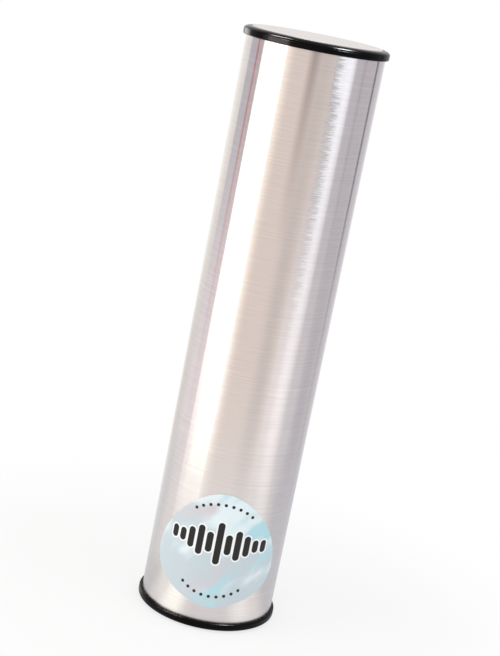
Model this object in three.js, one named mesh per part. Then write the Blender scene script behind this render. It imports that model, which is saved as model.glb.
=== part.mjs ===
// A tubular percussion shaker: an aluminium tube closed at both ends, with loose steel shot inside.
// Millimetres, +Z up. The shaker stands on its lower end, and the origin is the centre of that face.
// Each end is a pressed disc whose edge is trapped in a black push-on ring.

import * as THREE from "three";
import { mergeVertices } from "three/addons/utils/BufferGeometryUtils.js";

// Tube

const overallLength = 218; // from the face of one end disc to the face of the other
const tubeDiameter = 50;
const tubeWall = 1.2;
const tubeEdgeBreak = 0.2; // chamfer on the cut ends

// End rings: soft black channels pushed over the tube's wall

const ringOverhang = 1.2; // how far a ring stands out past the tube
const ringLip = 0.5; // lip that traps the disc's edge
const ringWeb = 0.6; // between the disc's edge and the end of the tube
const ringSideWall = 1.3; // outside the disc's edge
const ringSkirtCover = 1.2; // length of tube that the outer skirt covers
const ringPlugLength = 5; // inner skirt, inside the tube
const ringPlugWall = 1.2;
const ringCrownDepth = 1.5; // where the rounded crown meets the side
const ringFootRound = 0.9; // rounding where the side turns in to the tube

// End discs: pressed pans with a raised panel and a flange

const discThickness = 0.6;
const discPanelInset = 1.5; // how far the panel's edge lies inside the tube's outer surface
const discShoulderRound = 0.4;
const panelProud = 0.15; // how far the panel stands above the lip

// Fit of the ends: clearance wherever ring, disc and tube face each other

const fitGap = 0.1;

// Label: a piece of thin film on the front of the tube, round when seen from a little above

const labelWidth = 49.2; // measured round the tube
const labelHeight = 44.3;
const labelCentreHeight = 31.5;
const labelSideDrop = 5.3; // how far its two sides hang below its middle
const labelSlimming = 0.27; // how much narrower than an oval it is at the top and the foot
const labelThickness = 0.12;
const labelGap = 0.05; // glue line
const labelTurn = 1.6; // degrees, towards +X from straight ahead

// Loose steel shot, lying on the lower end disc

const shotDiameter = 5;
const shotGap = 0.3;
const shotCount = 53;

// Fineness of the round shapes

const turnSteps = 72;
const roundSteps = 4;
const labelColumns = 36;
const shotDetail = 1;

// Sizes that follow

const tubeRadius = tubeDiameter / 2;
const boreRadius = tubeRadius - tubeWall;
const panelRadius = tubeRadius - discPanelInset;
const ringOuterRadius = tubeRadius + ringOverhang;
const flangeRadius = ringOuterRadius - ringSideWall - fitGap;
const plugOuterRadius = boreRadius - fitGap;
const plugBoreRadius = plugOuterRadius - ringPlugWall;

// Depths count from the end face into the shaker.
const lipUnderside = panelProud + ringLip;
const flangeTop = lipUnderside + fitGap;
const flangeUnderside = flangeTop + discThickness;
const shelfDepth = flangeUnderside + fitGap;
const channelFloor = shelfDepth + ringWeb;
const tubeEndDepth = channelFloor + fitGap;
const ringHeight = tubeEndDepth + ringSkirtCover;

// Materials

const brushedAluminium = new THREE.MeshStandardMaterial({
  color: 0xd3ccc9,
  roughness: 0.34,
  metalness: 1,
});
const discAluminium = new THREE.MeshStandardMaterial({
  color: 0xdad7d2,
  roughness: 0.42,
  metalness: 1,
});
const blackVinyl = new THREE.MeshStandardMaterial({
  color: 0x0a090b,
  roughness: 0.16,
  metalness: 0,
});
const pearlFilm = new THREE.MeshStandardMaterial({
  color: 0xc3dfe6,
  roughness: 0.3,
  metalness: 0.1,
});
const steelShot = new THREE.MeshStandardMaterial({
  color: 0xb4b6ba,
  roughness: 0.2,
  metalness: 1,
});

// Turns a profile of [radius, height] points about the +Z axis.
function turned(profile) {
  const points = profile.map(([radius, height]) => new THREE.Vector2(radius, height));
  const geometry = new THREE.LatheGeometry(points, turnSteps);
  geometry.rotateX(Math.PI / 2);
  return geometry;
}

// Points of an elliptical corner between two angles, in degrees, both ends included.
function corner(centre, halfAxes, fromAngle, toAngle) {
  const points = [];
  for (let i = 0; i <= roundSteps; i++) {
    const angle = THREE.MathUtils.degToRad(
      THREE.MathUtils.lerp(fromAngle, toAngle, i / roundSteps),
    );
    points.push([
      centre[0] + halfAxes[0] * Math.cos(angle),
      centre[1] + halfAxes[1] * Math.sin(angle),
    ]);
  }
  return points;
}

// The plain tube, with its cut edges broken.
function tubeGeometry() {
  const low = tubeEndDepth;
  const high = overallLength - tubeEndDepth;
  const outer = tubeRadius;
  const inner = boreRadius;
  const cut = tubeEdgeBreak;
  return turned([
    [inner + cut, low],
    [outer - cut, low],
    [outer, low + cut],
    [outer, high - cut],
    [outer - cut, high],
    [inner + cut, high],
    [inner, high - cut],
    [inner, low + cut],
    [inner + cut, low],
  ]);
}

// A ring for the lower end: its crown faces down, and its channel takes the tube from above.
function ringGeometry() {
  const lipRadius = panelRadius + fitGap;
  const channelOuter = tubeRadius + fitGap;
  const foot = Math.min(ringFootRound, ringOverhang - fitGap, ringHeight - ringCrownDepth);
  const crown = corner(
    [lipRadius, ringCrownDepth],
    [ringOuterRadius - lipRadius, ringCrownDepth - panelProud],
    -90,
    0,
  );
  const side = corner(
    [ringOuterRadius - foot, ringHeight - foot],
    [foot, foot],
    0,
    90,
  );
  return turned([
    ...crown,
    ...side,
    [channelOuter, ringHeight],
    [channelOuter, channelFloor],
    [plugOuterRadius, channelFloor],
    [plugOuterRadius, channelFloor + ringPlugLength],
    [plugBoreRadius, channelFloor + ringPlugLength],
    [plugBoreRadius, shelfDepth],
    [flangeRadius + fitGap, shelfDepth],
    [flangeRadius + fitGap, lipUnderside],
    [lipRadius, lipUnderside],
    crown[0],
  ]);
}

// A disc for the lower end: its flat panel faces down, and its flange lies in the ring's groove.
function discGeometry() {
  const shoulder = Math.min(discShoulderRound, flangeTop);
  return turned([
    [0, 0],
    ...corner([panelRadius - shoulder, shoulder], [shoulder, shoulder], -90, 0),
    [panelRadius, flangeTop],
    [flangeRadius, flangeTop],
    [flangeRadius, flangeUnderside],
    [panelRadius - discThickness, flangeUnderside],
    [panelRadius - discThickness, discThickness],
    [0, discThickness],
  ]);
}

// The label: its outline is measured along the tube, in upright columns that crowd at its two tips.
function labelGeometry() {
  const innerRadius = tubeRadius + labelGap;
  const outerRadius = innerRadius + labelThickness;
  const outlinePoint = (radius, turn) => {
    const across = Math.sin(turn) * (1 - labelSlimming * Math.cos(turn) ** 2);
    const angle = (across * labelWidth) / 2 / tubeRadius + THREE.MathUtils.degToRad(labelTurn);
    const rise = (Math.cos(turn) * labelHeight) / 2 - labelSideDrop * across ** 2;
    return [radius * Math.sin(angle), -radius * Math.cos(angle), labelCentreHeight + rise];
  };
  const positions = [];
  const triangle = (a, b, c) => positions.push(...a, ...b, ...c);
  for (let i = 0; i < labelColumns; i++) {
    const turnHere = Math.PI * (i / labelColumns - 0.5);
    const turnNext = Math.PI * ((i + 1) / labelColumns - 0.5);
    const face = (radius) => ({
      topHere: outlinePoint(radius, turnHere),
      topNext: outlinePoint(radius, turnNext),
      footHere: outlinePoint(radius, Math.PI - turnHere),
      footNext: outlinePoint(radius, Math.PI - turnNext),
    });
    const outer = face(outerRadius);
    const inner = face(innerRadius);
    if (i > 0) {
      triangle(outer.footHere, outer.topNext, outer.topHere);
      triangle(inner.footHere, inner.topHere, inner.topNext);
    }
    if (i < labelColumns - 1) {
      triangle(outer.footHere, outer.footNext, outer.topNext);
      triangle(inner.footHere, inner.topNext, inner.footNext);
    }
    triangle(outer.topHere, outer.topNext, inner.topNext);
    triangle(outer.topHere, inner.topNext, inner.topHere);
    triangle(outer.footHere, inner.footNext, outer.footNext);
    triangle(outer.footHere, inner.footHere, inner.footNext);
  }
  const geometry = new THREE.BufferGeometry();
  geometry.setAttribute("position", new THREE.Float32BufferAttribute(positions, 3));
  const merged = mergeVertices(geometry);
  merged.computeVertexNormals();
  return merged;
}

// Where the shot lies: rings from the wall inwards, and a new layer once the floor is covered.
function shotPlaces() {
  const pitch = shotDiameter + shotGap;
  const wallRing = plugBoreRadius - shotGap - shotDiameter / 2;
  const places = [];
  for (let layer = 0; places.length < shotCount; layer++) {
    const height = discThickness + shotGap + shotDiameter / 2 + layer * pitch;
    for (let radius = wallRing; radius > 0 && places.length < shotCount; radius -= pitch) {
      const share = pitch / 2 / radius;
      const room = share < 1 ? Math.floor(Math.PI / Math.asin(share)) : 1;
      const inRing = Math.min(room, shotCount - places.length);
      for (let i = 0; i < inRing; i++) {
        const angle = (2 * Math.PI * i) / room;
        const reach = room > 1 ? radius : 0;
        places.push({
          atWall: radius === wallRing,
          position: [reach * Math.cos(angle), reach * Math.sin(angle), height],
        });
      }
    }
  }
  return places;
}

function named(name, geometry, material) {
  const mesh = new THREE.Mesh(geometry, material);
  mesh.name = name;
  return mesh;
}

// One closed end, made for the lower end of the tube.
function closedEnd(prefix) {
  const end = new THREE.Group();
  end.add(named(prefix + "_end_disc", discGeometry(), discAluminium));
  end.add(named(prefix + "_rim", ringGeometry(), blackVinyl));
  return end;
}

function looseShot() {
  const charge = new THREE.Group();
  const ball = new THREE.IcosahedronGeometry(shotDiameter / 2, shotDetail);
  const counts = { shot_wall: 0, shot_inner: 0 };
  for (const { atWall, position } of shotPlaces()) {
    const family = atWall ? "shot_wall" : "shot_inner";
    counts[family] += 1;
    const label = family + "_" + String(counts[family]).padStart(2, "0");
    const shot = named(label, ball, steelShot);
    shot.position.set(...position);
    charge.add(shot);
  }
  return charge;
}

const shaker = new THREE.Group();
shaker.add(named("tube", tubeGeometry(), brushedAluminium));
shaker.add(named("label", labelGeometry(), pearlFilm));

const lowerEnd = closedEnd("bottom");
shaker.add(lowerEnd);

const upperEnd = closedEnd("top");
upperEnd.position.z = overallLength;
upperEnd.rotation.x = Math.PI;
shaker.add(upperEnd);

shaker.add(looseShot());

export default shaker;
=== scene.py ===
# A tubular percussion shaker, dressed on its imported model: a brushed aluminium tube, a glossy black
# ring and a pale pressed disc at each end, a round film label, and loose steel shot inside.
# Metres, +Z up. The shaker stands on its lower end, and its front faces -Y.

import math
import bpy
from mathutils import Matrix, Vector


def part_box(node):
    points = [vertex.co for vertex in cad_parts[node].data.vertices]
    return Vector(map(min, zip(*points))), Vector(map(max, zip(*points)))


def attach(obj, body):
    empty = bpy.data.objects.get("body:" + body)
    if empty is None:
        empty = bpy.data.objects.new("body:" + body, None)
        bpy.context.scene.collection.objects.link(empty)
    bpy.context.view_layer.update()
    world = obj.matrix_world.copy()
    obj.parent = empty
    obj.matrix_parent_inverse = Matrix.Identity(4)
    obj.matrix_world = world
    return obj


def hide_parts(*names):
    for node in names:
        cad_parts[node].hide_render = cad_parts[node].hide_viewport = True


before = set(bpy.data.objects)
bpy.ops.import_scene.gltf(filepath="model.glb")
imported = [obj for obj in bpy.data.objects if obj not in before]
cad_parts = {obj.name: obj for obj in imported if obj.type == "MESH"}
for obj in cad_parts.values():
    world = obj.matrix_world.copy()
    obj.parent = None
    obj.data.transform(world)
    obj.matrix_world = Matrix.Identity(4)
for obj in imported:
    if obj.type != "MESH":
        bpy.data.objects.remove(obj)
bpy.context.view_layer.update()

from types import SimpleNamespace

import bmesh
import bpy
from bpy.props import FloatProperty, FloatVectorProperty, PointerProperty
from mathutils import Matrix, Vector

bl_info = {
    "name": "Percussion shaker",
    "version": (1, 0, 0),
    "blender": (4, 5, 0),
    "location": "View3D > Sidebar > Shaker",
    "description": "Dresses a tubular percussion shaker and sets it in a plain studio",
    "category": "Add Mesh",
}

MM = 0.001

# Fineness of the round shapes
TURN_STEPS = 192
FILLET_STEPS = 5
CROWN_STEPS = 14
DISH_STEPS = 10
LABEL_COLUMNS = 96
LABEL_ROWS = 24
BALL_DETAIL = 3
FLOOR_STEPS = 128

# The largest share of a side that a fillet takes, and the radius within which a point is on the axis
FILLET_SHARE = 0.49
ON_AXIS = 1e-9

# Most of a noise lies between these two levels
NOISE_LOW = 0.3
NOISE_HIGH = 0.7


# Properties

def length(name, description, millimetres):
    """A length, given in millimetres and kept in metres."""
    return FloatProperty(
        name=name,
        description=description,
        default=millimetres * MM,
        min=0.0,
        precision=5,
        subtype="DISTANCE",
        unit="LENGTH",
    )


def share(name, description, default, most=1.0):
    """A plain number from 0 upwards."""
    return FloatProperty(name=name, description=description, default=default, min=0.0, max=most)


def angle(name, description, degrees):
    """An angle, given in degrees and kept in radians."""
    return FloatProperty(
        name=name,
        description=description,
        default=math.radians(degrees),
        subtype="ANGLE",
        unit="ROTATION",
    )


def linear(red, green, blue):
    """The linear colour of a screen colour from 0 to 255."""
    def straighten(value):
        value /= 255
        if value <= 0.04045:
            return value / 12.92
        return ((value + 0.055) / 1.055) ** 2.4
    return (straighten(red), straighten(green), straighten(blue))


def colour(name, description, red, green, blue):
    """A colour, given as a screen colour from 0 to 255."""
    return FloatVectorProperty(
        name=name,
        description=description,
        default=linear(red, green, blue),
        min=0.0,
        max=1.0,
        size=3,
        subtype="COLOR",
    )


class ShakerSizes(bpy.types.PropertyGroup):
    """Real sizes of the shaker's pieces."""

    overall_length: length("Overall length", "From the face of one end disc to the other", 218)
    tube_radius: length("Tube radius", "Outside radius of the tube", 25)
    tube_wall: length("Tube wall", "Thickness of the tube", 1.2)
    tube_edge_break: length("Tube edge break", "Rounding of the tube's cut ends", 0.2)
    ring_overhang: length("Ring overhang", "How far a ring stands out past the tube", 1.2)
    ring_lip: length("Ring lip", "Thickness of the lip that traps the disc", 0.5)
    ring_web: length("Ring web", "Between the disc's edge and the tube's end", 0.6)
    ring_side_wall: length("Ring side wall", "Outside the disc's edge", 1.3)
    ring_cover: length("Ring cover", "Length of tube that the outer skirt covers", 1.2)
    ring_plug: length("Ring plug", "Length of the skirt inside the tube", 5)
    ring_plug_wall: length("Ring plug wall", "Thickness of the inner skirt", 1.2)
    ring_crown: length("Ring crown", "Depth at which the rounded crown meets the side", 1.5)
    ring_foot: length("Ring foot", "Rounding where the side turns in to the tube", 0.9)
    ring_edge: length("Ring edge", "Rounding of the ring's small edges", 0.12)
    parting_line: length("Parting line", "Height of the moulding line round a ring", 0.03)
    disc_thickness: length("Disc thickness", "Sheet that the end discs are pressed from", 0.6)
    disc_inset: length("Disc inset", "From the tube's outside in to the panel's edge", 1.5)
    disc_shoulder: length("Disc shoulder", "Rounding of the panel's edge", 0.4)
    disc_bend: length("Disc bend", "Rounding inside the disc's bends", 0.15)
    panel_proud: length("Panel proud", "How far the panel stands above the lip", 0.15)
    panel_dish: length("Panel dish", "How far the panel's middle is sunk by pressing", 0.08)
    fit_gap: length("Fit gap", "Clearance between ring, disc and tube", 0.1)
    label_width: length("Label width", "Measured round the tube", 49.2)
    label_height: length("Label height", "Measured along the tube", 44.3)
    label_centre: length("Label centre", "Height of its middle above the lower face", 31.5)
    label_side_drop: length("Label side drop", "How far its sides hang below its middle", 5.3)
    label_slimming: share("Label slimming", "Narrowing towards its top and foot", 0.27)
    label_thickness: length("Label thickness", "Thickness of the film", 0.12)
    label_gap: length("Label gap", "Glue line", 0.05)
    label_turn: angle("Label turn", "Turn of the label towards +X", 1.6)
    shot_radius: length("Shot radius", "Radius of one steel ball", 2.5)


class ShakerFinish(bpy.types.PropertyGroup):
    """Colours and surface finish."""

    tube_colour: colour("Tube", "Brushed aluminium", 226, 220, 217)
    tube_roughness: share("Tube roughness", "Mean roughness of the brushed tube", 0.2)
    disc_colour: colour("Discs", "Pressed aluminium discs", 240, 236, 231)
    disc_roughness: share("Disc roughness", "Mean roughness of the discs", 0.24)
    ring_colour: colour("Rings", "Black vinyl", 4, 3, 5)
    ring_roughness: share("Ring roughness", "Mean roughness of the rings", 0.16)
    label_ground: colour("Label ground", "Pale film under the print", 199, 212, 218)
    label_cloud: colour("Label cloud", "Deeper blue clouds", 182, 222, 231)
    label_light: colour("Label light", "Nearly white clouds", 230, 243, 247)
    label_blush: colour("Label blush", "Warm pale clouds", 211, 207, 213)
    label_ink: colour("Label ink", "Printed bars and dots", 20, 19, 20)
    label_halo: colour("Label halo", "White line round the print", 250, 250, 250)
    shot_colour: colour("Shot", "Polished steel balls", 190, 192, 196)


class ShakerStudio(bpy.types.PropertyGroup):
    """Floor and light."""

    floor_radius: length("Floor radius", "Pale round floor", 190)
    ambient: share("Ambient light", "Even light from all round", 0.72, 4.0)
    light_level: share("Light level", "How strong the lamps are, 1 as in the photograph", 1.0, 4.0)


# Meshes

def filleted(corners):
    """The closed outline of (radius, height, fillet) corners, with each fillet as a short arc."""
    outline = []
    count = len(corners)
    for i, (radius, height, fillet) in enumerate(corners):
        here = Vector((radius, height))
        if fillet <= 0:
            outline.append(here)
            continue
        before = Vector(corners[i - 1][:2]) - here
        after = Vector(corners[(i + 1) % count][:2]) - here
        half = before.angle(after) / 2
        longest = min(before.length, after.length) * FILLET_SHARE
        reach = min(fillet / math.tan(half), longest)
        start = here + before.normalized() * reach
        end = here + after.normalized() * reach
        for step in range(FILLET_STEPS + 1):
            t = step / FILLET_STEPS
            outline.append(start * (1 - t) ** 2 + here * 2 * t * (1 - t) + end * t ** 2)
    return outline


def turned(name, outline, closed=True):
    """A mesh object made by turning an outline of (radius, height) points about the Z axis."""
    made = bmesh.new()
    rings = []
    for radius, height in outline:
        if radius < ON_AXIS:
            rings.append([made.verts.new((0, 0, height))])
            continue
        ring = []
        for step in range(TURN_STEPS):
            turn = 2 * math.pi * step / TURN_STEPS
            ring.append(made.verts.new((radius * math.cos(turn), radius * math.sin(turn), height)))
        rings.append(ring)
    pairs = list(zip(rings, rings[1:]))
    if closed:
        pairs.append((rings[-1], rings[0]))
    for low, high in pairs:
        for step in range(TURN_STEPS):
            following = (step + 1) % TURN_STEPS
            corners = [
                low[step % len(low)],
                low[following % len(low)],
                high[following % len(high)],
                high[step % len(high)],
            ]
            distinct = list(dict.fromkeys(corners))
            if len(distinct) > 2:
                made.faces.new(distinct)
    return finished(name, made)


def finished(name, made, smooth_below=40):
    """Turns a bmesh into a linked object, smooth but for its sharp edges."""
    bmesh.ops.recalc_face_normals(made, faces=made.faces)
    mesh = bpy.data.meshes.new(name)
    made.to_mesh(mesh)
    made.free()
    mesh.shade_smooth()
    mesh.set_sharp_from_angle(angle=math.radians(smooth_below))
    piece = bpy.data.objects.new(name, mesh)
    bpy.context.scene.collection.objects.link(piece)
    return piece


def both_ends(outline, sizes):
    """The outline of a lower piece, and turned over for the upper one, each with its end's name."""
    upper = [(radius, sizes.overall_length - height) for radius, height in outline]
    return ("bottom", outline), ("top", upper)


def settle(piece, material, body, slot, *nodes):
    """Gives a piece its material and body, and hides the CAD nodes that it stands for. The slot is
    not used.
    """
    piece.data.materials.clear()
    piece.data.materials.append(material)
    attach(piece, body)
    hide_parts(*nodes)


# Outlines of the turned pieces: depth counts from the end face into the shaker

def end_depths(sizes):
    """The depths at which lip, flange, web and tube meet in one closed end."""
    depth = SimpleNamespace()
    depth.lip_underside = sizes.panel_proud + sizes.ring_lip
    depth.flange_top = depth.lip_underside + sizes.fit_gap
    depth.flange_underside = depth.flange_top + sizes.disc_thickness
    depth.shelf = depth.flange_underside + sizes.fit_gap
    depth.channel_floor = depth.shelf + sizes.ring_web
    depth.tube_end = depth.channel_floor + sizes.fit_gap
    depth.ring_height = depth.tube_end + sizes.ring_cover
    return depth


def tube_outline(sizes):
    low = end_depths(sizes).tube_end
    high = sizes.overall_length - low
    outer = sizes.tube_radius
    inner = outer - sizes.tube_wall
    edge = sizes.tube_edge_break
    return filleted([
        (outer, low, edge),
        (outer, high, edge),
        (inner, high, edge),
        (inner, low, edge),
    ])


def ring_outline(sizes):
    """Crown, parting line, foot, the tube's channel, plug, shelf, the disc's groove, and lip."""
    depth = end_depths(sizes)
    outer = sizes.tube_radius + sizes.ring_overhang
    panel = sizes.tube_radius - sizes.disc_inset
    lip = panel + sizes.fit_gap
    channel = sizes.tube_radius + sizes.fit_gap
    plug_outer = sizes.tube_radius - sizes.tube_wall - sizes.fit_gap
    plug_bore = plug_outer - sizes.ring_plug_wall
    groove = outer - sizes.ring_side_wall
    plug_end = depth.channel_floor + sizes.ring_plug
    edge = sizes.ring_edge
    crown_width = outer - lip
    crown_depth = sizes.ring_crown - sizes.panel_proud
    corners = []
    for step in range(CROWN_STEPS + 1):
        turn = math.pi / 2 * step / CROWN_STEPS
        corners.append((
            lip + crown_width * math.sin(turn),
            sizes.ring_crown - crown_depth * math.cos(turn),
            0,
        ))
    line = sizes.parting_line
    corners += [
        (outer, sizes.ring_crown + 2 * line, 0),
        (outer + line, sizes.ring_crown + 3 * line, 0),
        (outer, sizes.ring_crown + 4 * line, 0),
        (outer, depth.ring_height, sizes.ring_foot),
        (channel, depth.ring_height, edge),
        (channel, depth.channel_floor, edge),
        (plug_outer, depth.channel_floor, edge),
        (plug_outer, plug_end, edge),
        (plug_bore, plug_end, edge),
        (plug_bore, depth.shelf, edge),
        (groove, depth.shelf, edge),
        (groove, depth.lip_underside, edge),
        (lip, depth.lip_underside, edge),
    ]
    return filleted(corners)


def disc_outline(sizes):
    """A pressed pan: dished panel, rounded shoulder, and a flange that lies in the groove."""
    depth = end_depths(sizes)
    panel = sizes.tube_radius - sizes.disc_inset
    thickness = sizes.disc_thickness
    flange = sizes.tube_radius + sizes.ring_overhang - sizes.ring_side_wall - sizes.fit_gap
    bend = sizes.disc_bend
    flat_rim = panel - 2 * sizes.disc_shoulder
    face = []
    for step in range(DISH_STEPS):
        radius = flat_rim * step / DISH_STEPS
        face.append((radius, sizes.panel_dish * (1 - (radius / flat_rim) ** 2) ** 2))
    edge = filleted([
        (flat_rim, 0, 0),
        (panel, 0, sizes.disc_shoulder),
        (panel, depth.flange_top, bend),
        (flange, depth.flange_top, bend),
        (flange, depth.flange_underside, bend),
        (panel - thickness, depth.flange_underside, bend),
        (panel - thickness, thickness, bend),
        (flat_rim - thickness, thickness, 0),
    ])
    back = [
        (radius, height + thickness)
        for radius, height in reversed(face)
        if radius < flat_rim - thickness
    ]
    return face + [tuple(point) for point in edge] + back


def label_point(sizes, across, along, radius):
    """A point of the label: across runs from -1 to 1 between its tips, along from foot to top."""
    turn = math.asin(max(-1.0, min(1.0, across)))
    width_share = across * (1 - sizes.label_slimming * math.cos(turn) ** 2)
    around = width_share * sizes.label_width / 2 / sizes.tube_radius + sizes.label_turn
    rise = math.cos(turn) * sizes.label_height / 2 * along
    height = sizes.label_centre + rise - sizes.label_side_drop * width_share ** 2
    place = (radius * math.sin(around), -radius * math.cos(around), height)
    return place, (width_share * sizes.label_width / 2, height - sizes.label_centre)


def label_mesh(sizes):
    """The film as a closed thin shell. Its UV map holds its flat print coordinates in metres."""
    made = bmesh.new()
    print_map = made.loops.layers.uv.new("print")
    flat = {}

    def face_grid(radius):
        columns = []
        for column in range(LABEL_COLUMNS + 1):
            turn = math.pi * (column / LABEL_COLUMNS - 0.5)
            tip = column in (0, LABEL_COLUMNS)
            rows = []
            for row in range(1 if tip else LABEL_ROWS + 1):
                along = 0 if tip else 2 * row / LABEL_ROWS - 1
                place, at = label_point(sizes, math.sin(turn), along, radius)
                vert = made.verts.new(place)
                flat[vert] = at
                rows.append(vert)
            columns.append(rows)
        return columns

    inner_radius = sizes.tube_radius + sizes.label_gap
    inner = face_grid(inner_radius)
    outer = face_grid(inner_radius + sizes.label_thickness)
    for columns in (inner, outer):
        for left, right in zip(columns, columns[1:]):
            for row in range(LABEL_ROWS):
                corners = [
                    left[min(row, len(left) - 1)],
                    right[min(row, len(right) - 1)],
                    right[min(row + 1, len(right) - 1)],
                    left[min(row + 1, len(left) - 1)],
                ]
                made.faces.new(list(dict.fromkeys(corners)))
    for end in (0, -1):
        for column in range(LABEL_COLUMNS):
            made.faces.new([
                inner[column][end],
                inner[column + 1][end],
                outer[column + 1][end],
                outer[column][end],
            ])
    for face in made.faces:
        for loop in face.loops:
            loop[print_map].uv = flat[loop.vert]
    return made


# Shader graphs

class Graph:
    """A node tree with short ways to add and join its nodes."""

    def __init__(self, tree):
        self.tree = tree
        tree.nodes.clear()

    def join(self, value, socket):
        if isinstance(value, bpy.types.NodeSocket):
            self.tree.links.new(value, socket)
        else:
            socket.default_value = value

    def add(self, kind, inputs=None, **settings):
        made = self.tree.nodes.new(kind)
        for name, value in settings.items():
            setattr(made, name, value)
        for name, value in (inputs or {}).items():
            self.join(value, made.inputs[name])
        return made

    def maths(self, operation, *values):
        made = self.add("ShaderNodeMath", operation=operation)
        for value, socket in zip(values, made.inputs):
            self.join(value, socket)
        return made.outputs[0]

    def times(self, *values):
        return self.maths("MULTIPLY", *values)

    def minus(self, *values):
        return self.maths("SUBTRACT", *values)

    def vector(self, operation, *values):
        made = self.add("ShaderNodeVectorMath", operation=operation)
        for value, socket in zip(values, made.inputs):
            self.join(value, socket)
        return made.outputs["Value" if operation in ("LENGTH", "DOT_PRODUCT") else "Vector"]

    def apart(self, vector):
        return self.add("ShaderNodeSeparateXYZ", {"Vector": vector}).outputs

    def together(self, x, y, z):
        return self.add("ShaderNodeCombineXYZ", {"X": x, "Y": y, "Z": z}).outputs[0]

    def blend(self, factor, first, second):
        """A colour between two colours."""
        made = self.add("ShaderNodeMix", data_type="RGBA")
        self.join(factor, made.inputs[0])
        for value, socket in ((first, made.inputs[6]), (second, made.inputs[7])):
            if not isinstance(value, bpy.types.NodeSocket):
                value = (*value, 1.0)
            self.join(value, socket)
        return made.outputs[2]

    def spread(self, value, low, high, to_low=0.0, to_high=1.0, soft=False):
        """Maps low to high onto another range, clamped."""
        return self.add(
            "ShaderNodeMapRange",
            {
                "Value": value,
                "From Min": low,
                "From Max": high,
                "To Min": to_low,
                "To Max": to_high,
            },
            interpolation_type="SMOOTHSTEP" if soft else "LINEAR",
        ).outputs[0]

    def noise(self, vector, scale, detail=2.0, roughness=0.5):
        return self.add(
            "ShaderNodeTexNoise",
            {"Vector": vector, "Scale": scale, "Detail": detail, "Roughness": roughness},
        ).outputs[0]


def new_group(name, inputs, outputs):
    """An empty node group with float or vector inputs, and its graph, entry and exit nodes."""
    tree = bpy.data.node_groups.new(name, "ShaderNodeTree")
    for label, default in inputs.items():
        kind = "NodeSocketVector" if default is None else "NodeSocketFloat"
        socket = tree.interface.new_socket(name=label, in_out="INPUT", socket_type=kind)
        if default is not None:
            socket.default_value = default
    for label in outputs:
        tree.interface.new_socket(name=label, in_out="OUTPUT", socket_type="NodeSocketFloat")
    graph = Graph(tree)
    entry = graph.add("NodeGroupInput").outputs
    leave = graph.add("NodeGroupOutput").inputs
    return tree, graph, entry, leave


# Brush lines: how much slower the broad ones change, and how much of the relief is fine
BROAD_SLOWNESS = 0.17
FINE_SHARE = 0.7


def brush_lines_group():
    """Fine lines left by an abrasive belt. Across is the distance across the lines, in metres."""
    name = "Brush lines"
    if name in bpy.data.node_groups:
        return bpy.data.node_groups[name]
    tree, graph, entry, leave = new_group(
        name,
        {"Position": None, "Across": 0.0, "Line pitch": 0.4 * MM, "Line length": 30 * MM},
        ("Fine", "Broad", "Height"),
    )
    x, y, _ = graph.apart(entry["Position"])
    along_scale = graph.maths("DIVIDE", 1.0, entry["Line length"])
    across_scale = graph.maths("DIVIDE", 1.0, entry["Line pitch"])
    across = graph.times(entry["Across"], across_scale)
    along_x = graph.times(x, along_scale)
    along_y = graph.times(y, along_scale)
    fine = graph.noise(graph.together(along_x, along_y, across), 1.0, 3.0, 0.65)
    slow = graph.times(across, BROAD_SLOWNESS)
    broad = graph.noise(graph.together(along_x, along_y, slow), 1.0, 2.0, 0.6)
    fine_relief = graph.times(fine, FINE_SHARE)
    broad_relief = graph.times(broad, 1 - FINE_SHARE)
    height = graph.maths("ADD", fine_relief, broad_relief)
    graph.join(fine, leave["Fine"])
    graph.join(broad, leave["Broad"])
    graph.join(height, leave["Height"])
    return tree


# Scuffs: how far the scratches wander, and how wide one is as a share of a cell
SCUFF_WANDER = 6 * MM
SCRATCH_WIDTH = 0.012


def scuffs_group():
    """Sparse short scratches and rubbed patches from handling."""
    name = "Scuffs"
    if name in bpy.data.node_groups:
        return bpy.data.node_groups[name]
    tree, graph, entry, leave = new_group(
        name,
        {"Position": None, "Scale": 60.0, "Amount": 0.5},
        ("Scratches", "Rub"),
    )
    wander = graph.noise(entry["Position"], 90.0, 2.0)
    bent = graph.vector("ADD", entry["Position"], graph.together(
        graph.times(wander, SCUFF_WANDER),
        0.0,
        graph.times(wander, -SCUFF_WANDER),
    ))
    cells = graph.add(
        "ShaderNodeTexVoronoi",
        {"Vector": bent, "Scale": entry["Scale"]},
        feature="DISTANCE_TO_EDGE",
    ).outputs["Distance"]
    hair = graph.spread(cells, 0.0, SCRATCH_WIDTH, 1.0, 0.0)
    patches = graph.noise(entry["Position"], 45.0, 3.0)
    # Scratches show where the noise passes a level that falls as the amount grows.
    onset = graph.minus(0.78, graph.times(entry["Amount"], 0.2))
    sparse = graph.spread(patches, onset, 0.8)
    graph.join(graph.times(hair, sparse), leave["Scratches"])
    rub = graph.noise(entry["Position"], graph.times(entry["Scale"], 0.6), 4.0, 0.6)
    graph.join(graph.spread(rub, 0.45, 0.75), leave["Rub"])
    return tree


def use_group(graph, tree, inputs):
    return graph.add("ShaderNodeGroup", inputs, node_tree=tree).outputs


def scuffs(graph, position, scale, amount):
    tree = scuffs_group()
    return use_group(graph, tree, {"Position": position, "Scale": scale, "Amount": amount})


def new_material(name, sockets):
    """A material with one Principled shader, its constants set, and the object's coordinates."""
    material = bpy.data.materials.new(name)
    material.use_nodes = True
    graph = Graph(material.node_tree)
    shader = graph.add("ShaderNodeBsdfPrincipled", sockets)
    graph.add("ShaderNodeOutputMaterial", {"Surface": shader.outputs[0]})
    position = graph.add("ShaderNodeTexCoord").outputs["Object"]
    return material, graph, shader, position


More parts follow.
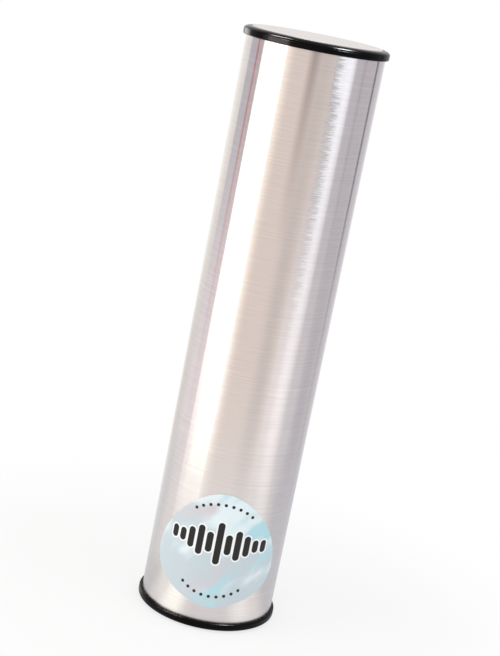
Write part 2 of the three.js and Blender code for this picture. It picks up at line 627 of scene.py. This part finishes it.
def add_relief(graph, shader, strength, distance, height, normal=None):
    """A faint relief on the shader's normal."""
    inputs = {"Strength": strength, "Distance": distance, "Height": height}
    bump = graph.add("ShaderNodeBump", inputs)
    if normal is not None:
        graph.join(normal, bump.inputs["Normal"])
    graph.join(bump.outputs[0], shader.inputs["Normal"])


def add_roughness(graph, shader, rough, scratches, depth):
    """The shader's roughness, with the scratches a little rougher."""
    rougher = graph.times(scratches, depth)
    graph.join(graph.maths("ADD", rough, rougher), shader.inputs["Roughness"])


# A patch near the upper end where the belt skipped: single lines there lean sideways
SKIP_TURN = math.radians(23.5)
SKIP_HALF_WIDTH = math.radians(6.5)
SKIP_CORE = 0.6
SKIP_FOOT = 100 * MM
SKIP_RISE = 45 * MM
SKIP_LEAN = 0.15
SKIP_PITCH = 0.3 * MM
SKIP_LENGTH = 6 * MM
SKIP_TILT = 0.07
SKIP_TILT_FOOT = 195 * MM
SKIP_TILT_RISE = 10 * MM


def turn_of(graph, position):
    """The turn of a place or direction about the axis, from the front towards +X."""
    x, y, _ = graph.apart(position)
    return graph.maths("ARCTAN2", x, graph.times(y, -1.0))


def ragged_normal(graph, position):
    """The surface normal, with single brush lines leaning round the tube inside the skipped patch.

    At its top the whole patch is tilted a little further round as well.
    """
    x, y, z = graph.apart(position)
    turn = turn_of(graph, position)
    off = graph.maths("ABSOLUTE", graph.minus(turn, SKIP_TURN))
    beside = graph.spread(off, SKIP_CORE * SKIP_HALF_WIDTH, SKIP_HALF_WIDTH, 1.0, 0.0, soft=True)
    above = graph.spread(z, SKIP_FOOT, SKIP_FOOT + SKIP_RISE, soft=True)
    patch = graph.times(beside, above)
    along, across = 1 / SKIP_LENGTH, 1 / SKIP_PITCH
    stretched = graph.vector("MULTIPLY", position, (along, along, across))
    lean = graph.spread(graph.noise(stretched, 1.0, 1.0), NOISE_LOW, NOISE_HIGH, -0.5, 0.5)
    tilt_top = SKIP_TILT_FOOT + SKIP_TILT_RISE
    tilt = graph.spread(z, SKIP_TILT_FOOT, tilt_top, 0.0, SKIP_TILT, soft=True)
    lean = graph.times(patch, graph.maths("MULTIPLY_ADD", lean, SKIP_LEAN, tilt))
    around = graph.vector("NORMALIZE", graph.together(graph.times(y, -1.0), x, 0.0))
    facing = graph.add("ShaderNodeNewGeometry").outputs["Normal"]
    offset = graph.add("ShaderNodeVectorMath", operation="SCALE")
    graph.join(around, offset.inputs[0])
    graph.join(lean, offset.inputs["Scale"])
    return graph.vector("NORMALIZE", graph.vector("ADD", facing, offset.outputs[0]))


# A painted reflection: a faint darker streak painted into the tube's colour, running down from the
# upper ring
PAINTED_REFLECTION_TURN = math.radians(1.3)
PAINTED_REFLECTION_HALF_WIDTH = math.radians(6.5)
PAINTED_REFLECTION_FOOT = 145 * MM
PAINTED_REFLECTION_RISE = 73 * MM
PAINTED_REFLECTION_DEPTH = 0.56
PAINTED_REFLECTION_TONE = linear(120, 108, 104)


# Where the painted dark reflection lies on the tube, and how strong it is
def painted_reflection_mask(graph, position):
    height = graph.apart(position)[2]
    turn = turn_of(graph, position)
    off = graph.maths("ABSOLUTE", graph.minus(turn, PAINTED_REFLECTION_TURN))
    beside = graph.spread(off, 0.0, PAINTED_REFLECTION_HALF_WIDTH, 1.0, 0.0, soft=True)
    above = graph.spread(height, PAINTED_REFLECTION_FOOT, PAINTED_REFLECTION_FOOT + PAINTED_REFLECTION_RISE)
    return graph.times(graph.times(beside, above), PAINTED_REFLECTION_DEPTH)


def brushed_tube_material(finish):
    """Aluminium brushed round the tube: its highlights stretch along the axis."""
    material, graph, shader, position = new_material("brushed_aluminium", {
        "Metallic": 1.0,
        "Anisotropic": 1.0,
        "Anisotropic Rotation": 0.25,
    })
    around = graph.add("ShaderNodeTangent", direction_type="RADIAL", axis="Z").outputs[0]
    graph.join(around, shader.inputs["Tangent"])
    lines = use_group(graph, brush_lines_group(), {
        "Position": position,
        "Across": graph.apart(position)[2],
        "Line pitch": 0.55 * MM,
        "Line length": 26 * MM,
    })
    marks = scuffs(graph, position, 70.0, 0.3)
    bright = linear(230, 224, 221)
    dull = linear(221, 215, 212)
    grain = graph.spread(lines["Fine"], NOISE_LOW, NOISE_HIGH)
    tone = graph.blend(grain, dull, bright)
    tone = graph.blend(graph.times(marks["Rub"], 0.25), tone, tuple(finish.tube_colour))
    # Painted reflection: a darker streak painted into the tube's colour below the upper ring
    tone = graph.blend(painted_reflection_mask(graph, position), tone, PAINTED_REFLECTION_TONE)
    graph.join(tone, shader.inputs["Base Color"])
    smoothest = finish.tube_roughness - 0.015
    roughest = finish.tube_roughness + 0.015
    rough = graph.spread(lines["Broad"], NOISE_LOW, NOISE_HIGH, smoothest, roughest)
    add_roughness(graph, shader, rough, marks["Scratches"], 0.15)
    facing = ragged_normal(graph, position)
    add_relief(graph, shader, 0.05, 0.02 * MM, lines["Height"], facing)
    return material


def pressed_disc_material(finish):
    """Pale pressed aluminium with faint turning lines."""
    material, graph, shader, position = new_material("pressed_aluminium", {"Metallic": 1.0})
    x, y, _ = graph.apart(position)
    out = graph.vector("LENGTH", graph.together(x, y, 0.0))
    lines = use_group(graph, brush_lines_group(), {
        "Position": position,
        "Across": out,
        "Line pitch": 0.5 * MM,
        "Line length": 40 * MM,
    })
    marks = scuffs(graph, position, 110.0, 0.6)
    pale = tuple(finish.disc_colour)
    worn = linear(231, 223, 222)
    tone = graph.blend(graph.spread(lines["Fine"], 0.25, 0.75), worn, pale)
    tone = graph.blend(graph.times(marks["Rub"], 0.3), tone, pale)
    graph.join(tone, shader.inputs["Base Color"])
    smoothest = finish.disc_roughness - 0.04
    roughest = finish.disc_roughness + 0.08
    rough = graph.spread(lines["Broad"], NOISE_LOW, NOISE_HIGH, smoothest, roughest)
    add_roughness(graph, shader, rough, marks["Scratches"], 0.2)
    add_relief(graph, shader, 0.15, 0.02 * MM, lines["Height"])
    return material


def black_ring_material(finish):
    """Glossy black vinyl with faint rub marks."""
    material, graph, shader, position = new_material("black_vinyl", {"Specular IOR Level": 0.08})
    marks = scuffs(graph, position, 140.0, 0.8)
    dusty = linear(8, 7, 9)
    tone = graph.blend(graph.times(marks["Rub"], 0.35), tuple(finish.ring_colour), dusty)
    graph.join(tone, shader.inputs["Base Color"])
    rubbed = finish.ring_roughness + 0.04
    rough = graph.spread(marks["Rub"], 0.0, 1.0, finish.ring_roughness, rubbed)
    add_roughness(graph, shader, rough, marks["Scratches"], 0.05)
    add_relief(graph, shader, 0.015, 0.05 * MM, graph.noise(position, 220.0))
    return material


def steel_shot_material(finish):
    """Polished steel, lightly marked by rolling."""
    material, graph, shader, position = new_material("steel_shot", {"Metallic": 1.0})
    marks = scuffs(graph, position, 400.0, 0.9)
    dull = linear(150, 152, 156)
    tone = graph.blend(graph.times(marks["Rub"], 0.4), tuple(finish.shot_colour), dull)
    graph.join(tone, shader.inputs["Base Color"])
    polished, rubbed = 0.14, 0.3
    rough = graph.spread(marks["Rub"], 0.0, 1.0, polished, rubbed)
    graph.join(rough, shader.inputs["Roughness"])
    add_relief(graph, shader, 0.1, 0.02 * MM, marks["Scratches"])
    return material


# Print of the label: a sound pattern of upright bars between two arcs of dots

BAR_PITCH = 3.5 * MM
BAR_HALF_WIDTH = 1.25 * MM
BAR_COUNT_EACH_SIDE = 5
BAR_TALLEST = 8.2 * MM
BAR_MIDDLE = 3.0 * MM
BAR_VANISHING = BAR_COUNT_EACH_SIDE + 1.5
BAR_TAPER = 1.4
BAR_BEAT = math.radians(150)
BAR_SWING = 0.26
DOT_ARC_RADIUS = 18.0 * MM
DOT_RADIUS = 0.62 * MM
DOT_TURN = math.radians(9)
DOTS_EACH_SIDE = 4
HALO = 0.55 * MM
INK_EDGE = 0.09 * MM

# Clouds of the film: where each noise starts, its scale, where it begins and is full, how much
# thicker it gets per metre across and along, and its colour. All are stretched along a diagonal.
CLOUD_STRETCH = 0.55
LABEL_CLOUDS = (
    ((0.013, 0.037, 0.0), 62.0, 0.43, 0.64, (1.5, 5.5, 0.0), "label_light"),
    ((0.52, 0.11, 0.0), 70.0, 0.5, 0.7, (3.5, 1.0, 0.0), "label_cloud"),
    ((0.31, 0.17, 0.0), 66.0, 0.52, 0.74, (-3.0, -1.0, 0.0), "label_blush"),
)


def nearest_index(graph, value, pitch, most):
    """The number of the nearest of a row of like marks, from -most to most."""
    index = graph.maths("ROUND", graph.maths("DIVIDE", value, pitch))
    return graph.maths("MINIMUM", graph.maths("MAXIMUM", index, -most), most)


def bars_distance(graph, across, along):
    """Signed distance to the nearest upright bar. Bars shrink in turn away from the middle one."""
    index = nearest_index(graph, across, BAR_PITCH, BAR_COUNT_EACH_SIDE)
    off_bar = graph.minus(across, graph.times(index, BAR_PITCH))
    fall = graph.maths("DIVIDE", graph.maths("ABSOLUTE", index), BAR_VANISHING)
    beat = graph.maths("COSINE", graph.times(index, BAR_BEAT))
    swing = graph.maths("MULTIPLY_ADD", beat, BAR_SWING, 1 - BAR_SWING)
    taper = graph.minus(1.0, graph.maths("POWER", fall, BAR_TAPER))
    half_height = graph.times(graph.times(swing, taper), BAR_TALLEST)
    straight = graph.maths("MAXIMUM", graph.minus(half_height, BAR_HALF_WIDTH), 0.0)
    rise = graph.maths("ABSOLUTE", graph.minus(along, BAR_MIDDLE))
    past = graph.maths("MAXIMUM", graph.minus(rise, straight), 0.0)
    reach = graph.vector("LENGTH", graph.together(off_bar, past, 0.0))
    return graph.minus(reach, BAR_HALF_WIDTH)


def dots_distance(graph, across, along, side):
    """Signed distance to the nearest dot of an arc above (side 1) or below (side -1) the middle."""
    outwards = graph.times(along, side)
    turn = graph.maths("ARCTAN2", across, outwards)
    index = nearest_index(graph, turn, DOT_TURN, DOTS_EACH_SIDE)
    at = graph.times(index, DOT_TURN)
    dot_x = graph.times(graph.maths("SINE", at), DOT_ARC_RADIUS)
    dot_y = graph.times(graph.maths("COSINE", at), DOT_ARC_RADIUS)
    reach = graph.vector("LENGTH", graph.together(
        graph.minus(across, dot_x),
        graph.minus(outwards, dot_y),
        0.0,
    ))
    return graph.minus(reach, DOT_RADIUS)


def label_material(finish):
    """Pearly pale blue film with soft clouds and a generic printed pattern."""
    material, graph, shader, position = new_material("pearl_film", {
        "Coat Roughness": 0.12,
        "Specular IOR Level": 0.3,
    })
    flat = graph.add("ShaderNodeUVMap", uv_map="print").outputs[0]
    across, along, _ = graph.apart(flat)
    leaning = graph.together(
        graph.times(graph.maths("ADD", across, along), CLOUD_STRETCH),
        graph.minus(along, across),
        0.0,
    )
    ground = tuple(finish.label_ground)
    for place, scale, low, high, pull, cloud in LABEL_CLOUDS:
        drift = graph.noise(graph.vector("ADD", leaning, place), scale, 2.5, 0.5)
        drift = graph.maths("ADD", drift, graph.vector("DOT_PRODUCT", flat, pull))
        cover = graph.spread(drift, low, high, soft=True)
        ground = graph.blend(cover, ground, tuple(getattr(finish, cloud)))
    bars = bars_distance(graph, across, along)
    dots = graph.maths(
        "MINIMUM",
        dots_distance(graph, across, along, 1.0),
        dots_distance(graph, across, along, -1.0),
    )
    halo = graph.spread(bars, HALO - INK_EDGE, HALO + INK_EDGE, 1.0, 0.0)
    ink = graph.spread(graph.maths("MINIMUM", bars, dots), -INK_EDGE, INK_EDGE, 1.0, 0.0)
    tone = graph.blend(halo, ground, tuple(finish.label_halo))
    tone = graph.blend(ink, tone, tuple(finish.label_ink))
    graph.join(tone, shader.inputs["Base Color"])
    marks = scuffs(graph, position, 120.0, 0.5)
    film_roughness, ink_roughness = 0.34, 0.24
    clean_coat, rubbed_coat = 0.2, 0.1
    rough = graph.spread(ink, 0.0, 1.0, film_roughness, ink_roughness)
    graph.join(rough, shader.inputs["Roughness"])
    coat = graph.spread(marks["Rub"], 0.0, 1.0, clean_coat, rubbed_coat)
    graph.join(coat, shader.inputs["Coat Weight"])
    add_relief(graph, shader, 0.1, 0.05 * MM, graph.noise(position, 160.0))
    return material


# Stage

CAMERA_PLACE = (0.0, -0.56278, 0.24998)
CAMERA_PITCH = 0.2439
CAMERA_YAW = -0.0063
CAMERA_ROLL = -0.1953
CAMERA_LENS = 86.49
CAMERA_SENSOR = 36.0


def camera_turn():
    """The camera's rotation, from its pitch below the horizon, its yaw and its roll."""
    forward = Vector((
        math.sin(CAMERA_YAW) * math.cos(CAMERA_PITCH),
        math.cos(CAMERA_YAW) * math.cos(CAMERA_PITCH),
        -math.sin(CAMERA_PITCH),
    ))
    level = Vector((math.cos(CAMERA_YAW), -math.sin(CAMERA_YAW), 0.0))
    down = forward.cross(level)
    right = level * math.cos(CAMERA_ROLL) + down * math.sin(CAMERA_ROLL)
    up = right.cross(forward)
    return Matrix((right, up, -forward)).transposed()


def add_camera():
    data = bpy.data.cameras.new("camera")
    data.lens = CAMERA_LENS
    data.sensor_width = CAMERA_SENSOR
    data.clip_start = 0.01
    data.clip_end = 20.0
    camera = bpy.data.objects.new("camera", data)
    camera.matrix_world = Matrix.Translation(CAMERA_PLACE) @ camera_turn().to_4x4()
    bpy.context.scene.collection.objects.link(camera)
    bpy.context.scene.camera = camera


# Groups of pieces that lamps are linked to or leave out: a low lamp turns the flat discs white
RING_LAMPS_LIGHT = "lit by ring lamps"
LEFT_SOFTBOX_SPARES = "left out by left softbox"

WARM = (1.0, 0.97, 0.92)
COOL = (0.93, 0.96, 1.0)
BROWN = (1.0, 0.82, 0.84)
NEUTRAL = (1.0, 1.0, 1.0)

# Lamps: azimuth from the front towards +X and elevation in degrees, distance from the shaker's
# middle, width and height in metres, radiance, tint, and what each one lights: "rings" is there for
# its mirror image in the two black rings alone, "matt" is a fill that no shiny surface mirrors, and
# "all but discs" leaves the end discs out.
LAMPS = (
    ("left_softbox", -67, 2, 0.75, (0.62, 0.44), 1.55, WARM, "all but discs"),
    ("left_fill", -67, 29, 0.83, (0.62, 0.38), 1.55, WARM, "matt"),
    ("overhead_softbox", -20, 66, 0.8, (0.5, 0.3), 1.6, WARM, "everything"),
    ("right_fill", 60, 20, 0.8, (0.5, 0.7), 1.3, COOL, "matt"),
    ("ring_softbox", -60, -5, 0.75, (0.49, 0.66), 12, BROWN, "rings"),
    ("ring_line", -90, 60, 0.8, (0.16, 0.31), 110, WARM, "rings"),
    ("ring_window", 82, 67, 0.9, (0.28, 0.17), 260, COOL, "rings"),
    ("ring_end", -138, 5, 0.75, (0.3, 0.44), 3.5, NEUTRAL, "rings"),
)
LAMP_AIM = Vector((0, 0, 0.109))


def light_group(name):
    """The group of that name, made when it's first asked for."""
    return bpy.data.collections.get(name) or bpy.data.collections.new(name)


def add_lamp(level, name, azimuth, elevation, distance, size, radiance, tint, lights):
    """One rectangular lamp of the list, facing the shaker's middle."""
    data = bpy.data.lights.new(name, "AREA")
    data.shape = "RECTANGLE"
    data.size, data.size_y = size
    data.energy = level * radiance * math.pi * size[0] * size[1]
    data.color = tint
    lamp = bpy.data.objects.new(name, data)
    turn = math.radians(azimuth)
    lift = math.radians(elevation)
    towards = Vector((
        math.sin(turn) * math.cos(lift),
        -math.cos(turn) * math.cos(lift),
        math.sin(lift),
    ))
    lamp.location = LAMP_AIM + towards * distance
    lamp.rotation_euler = (-towards).to_track_quat("-Z", "Y").to_euler()
    lamp.visible_camera = False
    if lights == "rings":
        lamp.visible_diffuse = False
        lamp.light_linking.receiver_collection = light_group(RING_LAMPS_LIGHT)
    if lights == "matt":
        lamp.visible_glossy = False
    if lights == "all but discs":
        lamp.light_linking.receiver_collection = light_group(LEFT_SOFTBOX_SPARES)
    bpy.context.scene.collection.objects.link(lamp)


# Cards round the studio, in degrees: azimuth, half width, soft edge, lowest and highest elevation;
# then the card's tone. CARD_FADE softens its foot and top.
STUDIO_CARDS = (
    ("far right", 128, 30, 40, -90, 90, linear(212, 212, 220)),
    ("far left", -170, 36, 40, -90, -1, (1.05, 1.03, 0.99)),
    ("room in front", 6, 118, 12, -90, 90, linear(226, 217, 214)),
    ("left wall", -107, 18, 3, -10, 90, linear(194, 195, 205)),
    ("left wall, warm part", -97, 5, 3, -10, 90, linear(198, 187, 190)),
    ("red line", -103, 1.5, 1.5, -10, 90, linear(185, 15, 40)),
    ("wall corner", -91, 2.5, 2, -10, 90, linear(165, 158, 160)),
    ("left low glow", -103, 22, 16, -90, -9, (1.06, 1.0, 1.05)),
    ("warm corner", -14, 22, 18, -90, 90, linear(245, 234, 228)),
    ("softbox glow", -44, 8, 18, -90, 90, (1.35, 1.2, 1.08)),
    ("softbox foot", -62, 19, 12, -90, -9, (1.55, 1.6, 1.54)),
    ("far left, low", -145, 14, 16, -90, -12, linear(232, 229, 228)),
    ("cool spill", 54, 13, 6, -14, 7, linear(172, 185, 198)),
    ("cool window", 64, 8, 20, -14, 90, (0.97, 1.03, 1.13)),
    ("cool window, upper part", 64, 8, 20, -2, 90, (1.55, 1.64, 1.8)),
    ("low glow", 53, 15, 36, -90, -12, (1.62, 1.53, 1.54)),
    ("right wall", 98, 24, 6, -90, 90, linear(205, 204, 212)),
    ("right wall, low", 84, 14, 20, -90, -13, (0.9, 0.89, 0.93)),
    ("right seam", 94, 3, 4, -8, 90, linear(188, 186, 194)),
    ("right line", 128, 3, 4, -10, 90, linear(110, 106, 120)),
)
CARD_FADE = 2
BACKDROP = (0.9, 0.89, 0.88)

# The grey ceiling in front: the elevations between which it fades in, its tone, and how far forward
# of the shaker's sides it fades out
CEILING_LOW = 12
CEILING_HIGH = 28
CEILING = linear(192, 190, 189)
CEILING_SIDE_FADE = 0.3

# Painted pools of light and shade on the floor, which only shiny surfaces see: azimuth, half width
# and soft edge in degrees, how far out each tone reaches, and the tone, which is full up to
# FLOOR_TONE_CORE of its reach
FLOOR_PAINTED_LIGHT = (
    ("right, away from the lamps", 128, 50, 26, 400 * MM, (0.67, 0.69, 0.75)),
    ("left, away from the lamps", -128, 18, 30, 400 * MM, (0.78, 0.8, 0.83)),
    ("beside the foot, left", -102, 24, 24, 75 * MM, (0.68, 0.7, 0.74)),
    ("in front", 6, 26, 20, 110 * MM, (0.86, 0.87, 0.9)),
    ("below the softbox", -40, 13, 16, 90 * MM, (1.45, 1.5, 1.42)),
    ("below the window", 45, 12, 18, 110 * MM, (1.15, 1.15, 1.16)),
)
FLOOR_TONE_CORE = 0.6

# The floor's own glow is weaker round the foot, so that the shadow stays: its least strength, and
# where it starts to rise and is full, as shares of the floor's radius
FLOOR_GLOW_LEAST = 0.75
FLOOR_GLOW_START = 0.35
FLOOR_GLOW_FULL = 0.9


def azimuth_mask(graph, azimuth, centre, half_width, edge):
    """1 within half_width of centre, in degrees, with a soft edge, and 0 outside."""
    away = graph.maths("ABSOLUTE", graph.minus(azimuth, centre))
    inside = graph.minus(half_width, away)
    return graph.spread(inside, -edge / 2, edge / 2, soft=True)


def studio_tone(graph):
    """What shiny surfaces see all round: a pale sweep, toned cards, and a grey ceiling in front."""
    direction = graph.add("ShaderNodeTexCoord").outputs["Generated"]
    _, y, z = graph.apart(direction)
    azimuth = graph.maths("DEGREES", turn_of(graph, direction))
    elevation = graph.maths("DEGREES", graph.maths("ARCSINE", z))
    tone = BACKDROP
    for name, centre, half_width, edge, lowest, highest, card in STUDIO_CARDS:
        mask = azimuth_mask(graph, azimuth, centre, half_width, edge)
        above = graph.spread(elevation, lowest - CARD_FADE, lowest + CARD_FADE, soft=True)
        past = graph.spread(elevation, highest - CARD_FADE, highest + CARD_FADE, soft=True)
        mask = graph.times(graph.times(mask, above), graph.minus(1.0, past))
        mask.node.label = name
        tone = graph.blend(mask, tone, card)
    overhead = graph.spread(elevation, CEILING_LOW, CEILING_HIGH, soft=True)
    in_front = graph.spread(y, -CEILING_SIDE_FADE, 0.0, 1.0, 0.0, soft=True)
    return graph.blend(graph.times(overhead, in_front), tone, CEILING)


def set_world(studio):
    """White for the camera, studio tones for shiny surfaces, and even light for matt ones."""
    world = bpy.data.worlds.new("studio")
    bpy.context.scene.world = world
    world.use_nodes = True
    world.cycles.sampling_method = "NONE"
    graph = Graph(world.node_tree)
    path = graph.add("ShaderNodeLightPath").outputs
    shiny = graph.maths("MAXIMUM", path["Is Glossy Ray"], path["Is Transmission Ray"])
    even = (studio.ambient,) * 3
    tone = graph.blend(shiny, even, studio_tone(graph))
    tone = graph.blend(path["Is Camera Ray"], tone, (1.0, 1.0, 1.0))
    background = graph.add("ShaderNodeBackground", {"Color": tone, "Strength": 1.0})
    graph.add("ShaderNodeOutputWorld", {"Surface": background.outputs[0]})


def floor_material(studio):
    """Plain pale floor: white to the camera, with painted pools of light and shade for shiny
    surfaces, and a soft shadow.
    """
    material = bpy.data.materials.new("pale_floor")
    material.use_nodes = True
    material.cycles.emission_sampling = "NONE"
    graph = Graph(material.node_tree)
    path = graph.add("ShaderNodeLightPath").outputs
    seen = graph.maths("MAXIMUM", path["Is Camera Ray"], path["Is Glossy Ray"])
    seen = graph.maths("MAXIMUM", seen, path["Is Transmission Ray"])
    matt = graph.add("ShaderNodeBsdfDiffuse", {"Color": (0.9, 0.9, 0.9, 1.0)})
    place = graph.add("ShaderNodeTexCoord").outputs["Object"]
    azimuth = graph.maths("DEGREES", turn_of(graph, place))
    out = graph.vector("LENGTH", place)
    tone = (1.0, 1.0, 1.0)
    # Painted light and shade on the floor: brighter below the lamps, darker away from them and beside
    # the foot
    for name, centre, half_width, edge, reach, card in FLOOR_PAINTED_LIGHT:
        near = graph.spread(out, FLOOR_TONE_CORE * reach, reach, 1.0, 0.0, soft=True)
        beside = azimuth_mask(graph, azimuth, centre, half_width, edge)
        mask = graph.times(near, beside)
        mask.node.label = name
        tone = graph.blend(mask, tone, card)
    tone = graph.blend(path["Is Camera Ray"], tone, (1.0, 1.0, 1.0))
    glow = graph.add("ShaderNodeEmission", {"Color": tone, "Strength": 1.0})
    start = FLOOR_GLOW_START * studio.floor_radius
    full = FLOOR_GLOW_FULL * studio.floor_radius
    rising = graph.spread(out, start, full, FLOOR_GLOW_LEAST, 1.0, soft=True)
    mixed = graph.add("ShaderNodeMixShader", {"Fac": graph.times(seen, rising)})
    graph.join(matt.outputs[0], mixed.inputs[1])
    graph.join(glow.outputs[0], mixed.inputs[2])
    graph.add("ShaderNodeOutputMaterial", {"Surface": mixed.outputs[0]})
    return material


def add_floor(studio):
    drop = 0.1 * MM
    made = bmesh.new()
    bmesh.ops.create_circle(made, cap_ends=True, segments=FLOOR_STEPS, radius=studio.floor_radius)
    bmesh.ops.translate(made, verts=made.verts, vec=(0, 0, -drop))
    floor = finished("floor", made)
    floor.data.materials.append(floor_material(studio))


# Operators

class SHAKER_OT_tube(bpy.types.Operator):
    """Make the brushed aluminium tube"""

    bl_idname = "shaker.tube"
    bl_label = "Tube"

    def execute(self, context):
        scene = context.scene
        piece = turned("brushed_tube", tube_outline(scene.shaker_sizes))
        settle(piece, brushed_tube_material(scene.shaker_finish), "shaker", "tube", "tube")
        return {"FINISHED"}


class SHAKER_OT_rings(bpy.types.Operator):
    """Make the two black end rings"""

    bl_idname = "shaker.rings"
    bl_label = "End rings"

    def execute(self, context):
        scene = context.scene
        sizes = scene.shaker_sizes
        material = black_ring_material(scene.shaker_finish)
        for prefix, outline in both_ends(ring_outline(sizes), sizes):
            piece = turned(prefix + "_ring", outline)
            light_group(RING_LAMPS_LIGHT).objects.link(piece)
            settle(piece, material, "shaker", "rim", prefix + "_rim")
        return {"FINISHED"}


class SHAKER_OT_discs(bpy.types.Operator):
    """Make the two pressed end discs"""

    bl_idname = "shaker.discs"
    bl_label = "End discs"

    def execute(self, context):
        scene = context.scene
        sizes = scene.shaker_sizes
        material = pressed_disc_material(scene.shaker_finish)
        spared = light_group(LEFT_SOFTBOX_SPARES)
        for prefix, outline in both_ends(disc_outline(sizes), sizes):
            piece = turned(prefix + "_disc", outline, closed=False)
            settle(piece, material, "shaker", "end_disc", prefix + "_end_disc")
            spared.objects.link(piece)
        for member in spared.collection_objects:
            member.light_linking.link_state = "EXCLUDE"
        return {"FINISHED"}


class SHAKER_OT_label(bpy.types.Operator):
    """Make the round film label"""

    bl_idname = "shaker.label"
    bl_label = "Label"

    def execute(self, context):
        scene = context.scene
        piece = finished("film_label", label_mesh(scene.shaker_sizes))
        settle(piece, label_material(scene.shaker_finish), "shaker", "label", "label")
        return {"FINISHED"}


class SHAKER_OT_shot(bpy.types.Operator):
    """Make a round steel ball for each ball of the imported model"""

    bl_idname = "shaker.shot"
    bl_label = "Loose shot"

    def execute(self, context):
        scene = context.scene
        made = bmesh.new()
        bmesh.ops.create_icosphere(
            made, subdivisions=BALL_DETAIL, radius=scene.shaker_sizes.shot_radius
        )
        pattern = finished("ball_pattern", made, smooth_below=60)
        ball = pattern.data
        bpy.data.objects.remove(pattern)
        ball.materials.append(steel_shot_material(scene.shaker_finish))
        names = [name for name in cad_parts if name.startswith("shot_")]
        if not names:
            raise RuntimeError("the packed model holds no shot")
        for name in sorted(names):
            low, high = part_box(name)
            piece = bpy.data.objects.new("ball" + name.removeprefix("shot"), ball)
            piece.location = (low + high) / 2
            scene.collection.objects.link(piece)
            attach(piece, "shot_wall" if name.startswith("shot_wall") else "shot_core")
            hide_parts(name)
        return {"FINISHED"}


class SHAKER_OT_studio(bpy.types.Operator):
    """Set the floor, the light and the camera"""

    bl_idname = "shaker.studio"
    bl_label = "Studio"

    def execute(self, context):
        studio = context.scene.shaker_studio
        context.scene.view_settings.view_transform = "Standard"
        add_camera()
        add_floor(studio)
        set_world(studio)
        for lamp in LAMPS:
            add_lamp(studio.light_level, *lamp)
        return {"FINISHED"}


class SHAKER_PT_panel(bpy.types.Panel):
    """Lists the shaker's pieces and its studio"""

    bl_idname = "SHAKER_PT_panel"
    bl_label = "Percussion shaker"
    bl_space_type = "VIEW_3D"
    bl_region_type = "UI"
    bl_category = "Shaker"

    def draw(self, context):
        column = self.layout.column()
        for operator in OPERATORS:
            column.operator(operator.bl_idname)
        for group in PROPERTY_GROUPS.values():
            settings = getattr(context.scene, group)
            for name in settings.__annotations__:
                column.prop(settings, name)


PROPERTY_GROUPS = {
    ShakerSizes: "shaker_sizes",
    ShakerFinish: "shaker_finish",
    ShakerStudio: "shaker_studio",
}
OPERATORS = (
    SHAKER_OT_studio,
    SHAKER_OT_tube,
    SHAKER_OT_discs,
    SHAKER_OT_rings,
    SHAKER_OT_label,
    SHAKER_OT_shot,
)
CLASSES = (*PROPERTY_GROUPS, *OPERATORS, SHAKER_PT_panel)


def register():
    for made in CLASSES:
        bpy.utils.register_class(made)
    for group, name in PROPERTY_GROUPS.items():
        setattr(bpy.types.Scene, name, PointerProperty(type=group))


def unregister():
    for name in PROPERTY_GROUPS.values():
        delattr(bpy.types.Scene, name)
    for made in reversed(CLASSES):
        bpy.utils.unregister_class(made)


def main():
    register()
    bpy.ops.shaker.studio()
    bpy.ops.shaker.tube()
    bpy.ops.shaker.discs()
    bpy.ops.shaker.rings()
    bpy.ops.shaker.label()
    bpy.ops.shaker.shot()


if __name__ == "__main__":
    main()
